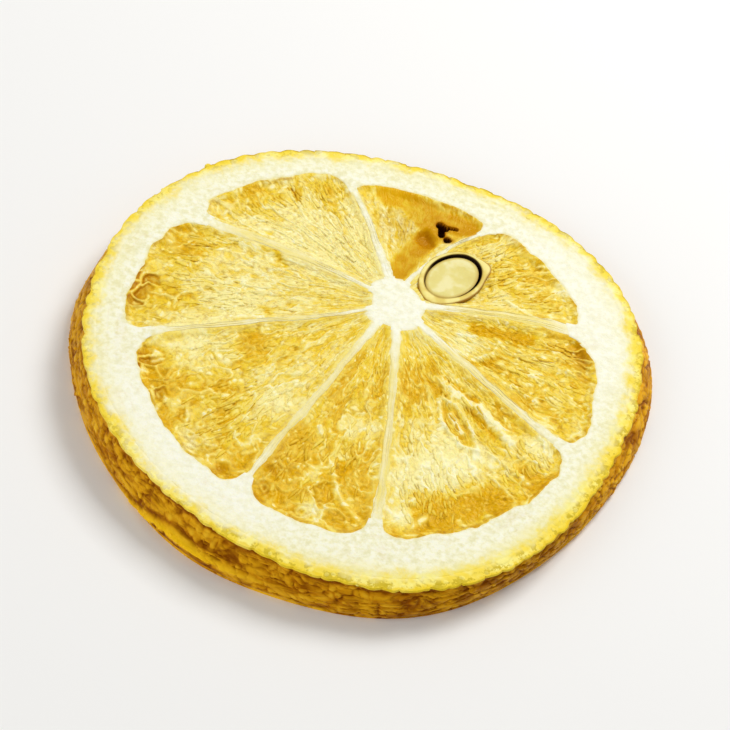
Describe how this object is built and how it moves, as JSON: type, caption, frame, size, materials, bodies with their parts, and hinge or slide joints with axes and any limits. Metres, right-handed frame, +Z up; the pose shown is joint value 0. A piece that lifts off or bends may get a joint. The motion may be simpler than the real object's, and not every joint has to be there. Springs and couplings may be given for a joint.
{
  "type": "dried lemon slice",
  "caption": "Round dried lemon slice lying flat: peel, pith ring, pulp segments round an off-centre core, and a cut pip in its coat.",
  "frame": {"origin": "on the floor under the middle of the slice's box", "axes": "+Z up, square to the lower cut face; +Y towards the side that the core is nearer to"},
  "size_m": [0.057, 0.0556, 0.0046],
  "materials": {
    "pulp": "dried, streaky, straw to golden amber, partly glossy",
    "pith": "matt, fine-grained cream",
    "peel": "wrinkled and pitted, golden brown, bright yellow at the rim",
    "pip": "smooth, pale greenish cream"
  },
  "bodies": {
    "root": {"lemon_slice": "pulp", "pip_kernel": "pip"}
  },
  "joints": []
}
